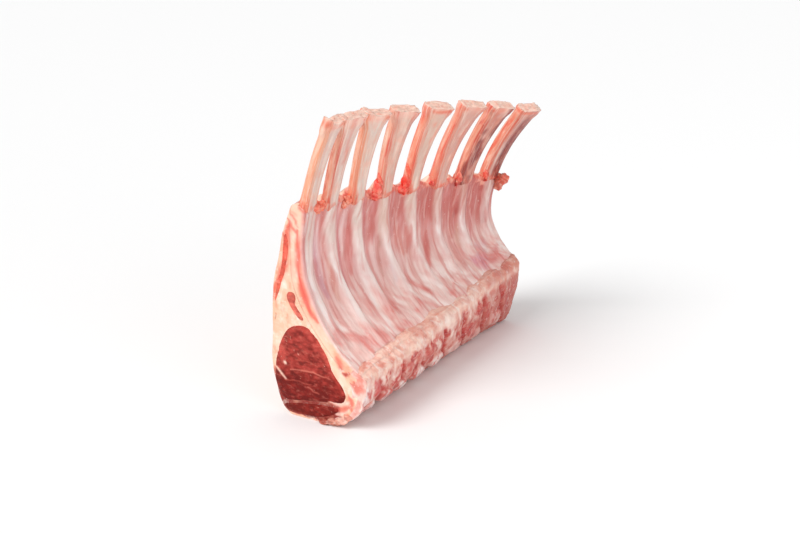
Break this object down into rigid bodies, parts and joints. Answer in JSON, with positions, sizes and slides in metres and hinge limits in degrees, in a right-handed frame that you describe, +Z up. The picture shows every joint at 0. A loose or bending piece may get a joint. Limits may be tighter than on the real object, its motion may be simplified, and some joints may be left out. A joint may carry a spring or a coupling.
{
  "type": "rack of lamb",
  "caption": "Raw frenched rack of lamb standing on its back, with bare curved rib bones, round loin muscle at the cut end, fat cap and sawn backbone.",
  "frame": {"origin": "middle of the resting side, at the centre of the whole's outline seen from above", "axes": "+Y along the backbone from the loin end to the shoulder end, +Z up towards the bone tips, +X towards the open side of the ribs"},
  "size_m": [0.0604, 0.2006, 0.165],
  "materials": {
    "lean": "moist raw lean meat, dark red, finely marbled",
    "rib_flesh": "pink meat between the ribs under a thin pale membrane, moist",
    "fat": "cream fat, slightly waxy",
    "bone": "scraped rib bone with pink shreds, satin",
    "backbone": "sawn backbone, pink marrow bone with white gristle"
  },
  "bodies": {
    "root": {"back_strip": "lean", "cap_lean": "lean", "eye_muscle": "lean", "fat_cap": "fat", "inner_lean": "lean", "rib_1": "bone", "rib_2": "bone", "rib_3": "bone", "rib_4": "bone", "rib_5": "bone", "rib_6": "bone", "rib_7": "bone", "rib_8": "bone", "rib_meat": "rib_flesh", "vertebra_1": "backbone", "vertebra_2": "backbone", "vertebra_3": "backbone", "vertebra_4": "backbone", "vertebra_5": "backbone", "vertebra_6": "backbone", "vertebra_7": "backbone", "vertebra_8": "backbone"}
  },
  "joints": []
}
